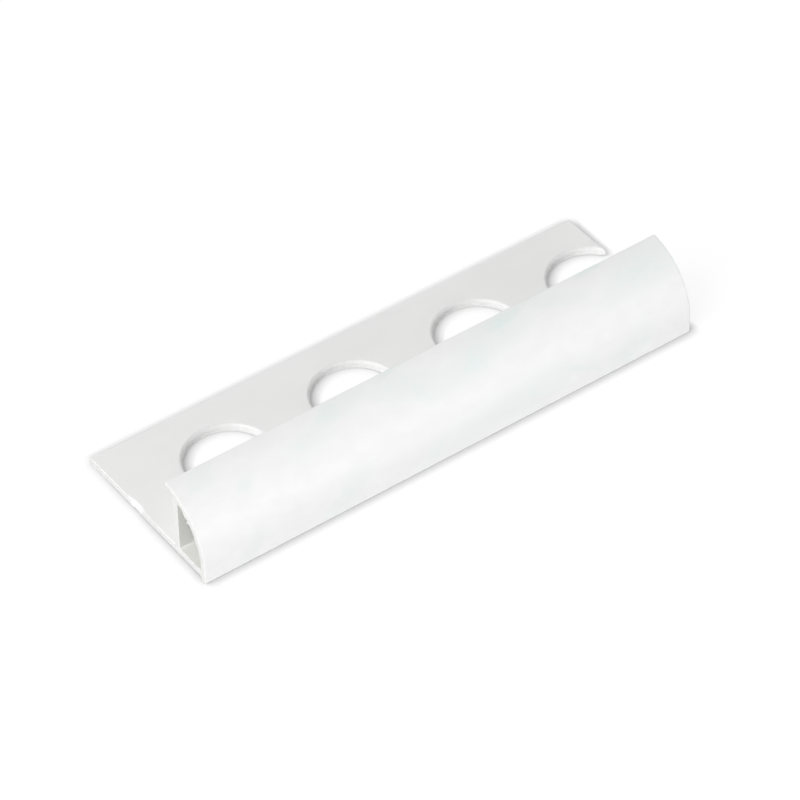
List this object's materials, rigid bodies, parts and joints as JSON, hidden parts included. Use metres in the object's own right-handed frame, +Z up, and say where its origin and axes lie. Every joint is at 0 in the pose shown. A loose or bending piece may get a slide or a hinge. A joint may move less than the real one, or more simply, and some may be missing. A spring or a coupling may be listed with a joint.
{
  "type": "corner guard trim",
  "caption": "Quarter-round tile corner trim: a hollow marbled nose with a lip over the tile, and a flat perforated leg that is bedded under the tile.",
  "frame": {"origin": "under the middle of the sample, level with the bottom of the toe", "axes": "+X along the length from the clipped end to the sawn-open end, +Y from the nose to the leg's rear edge, +Z up"},
  "size_m": [0.0716, 0.024, 0.0106],
  "materials": {
    "white_pvc": "semi-gloss white rigid PVC, the nose faintly marbled in cool grey-green"
  },
  "bodies": {
    "root": {"corner_trim": "white_pvc"}
  },
  "joints": []
}
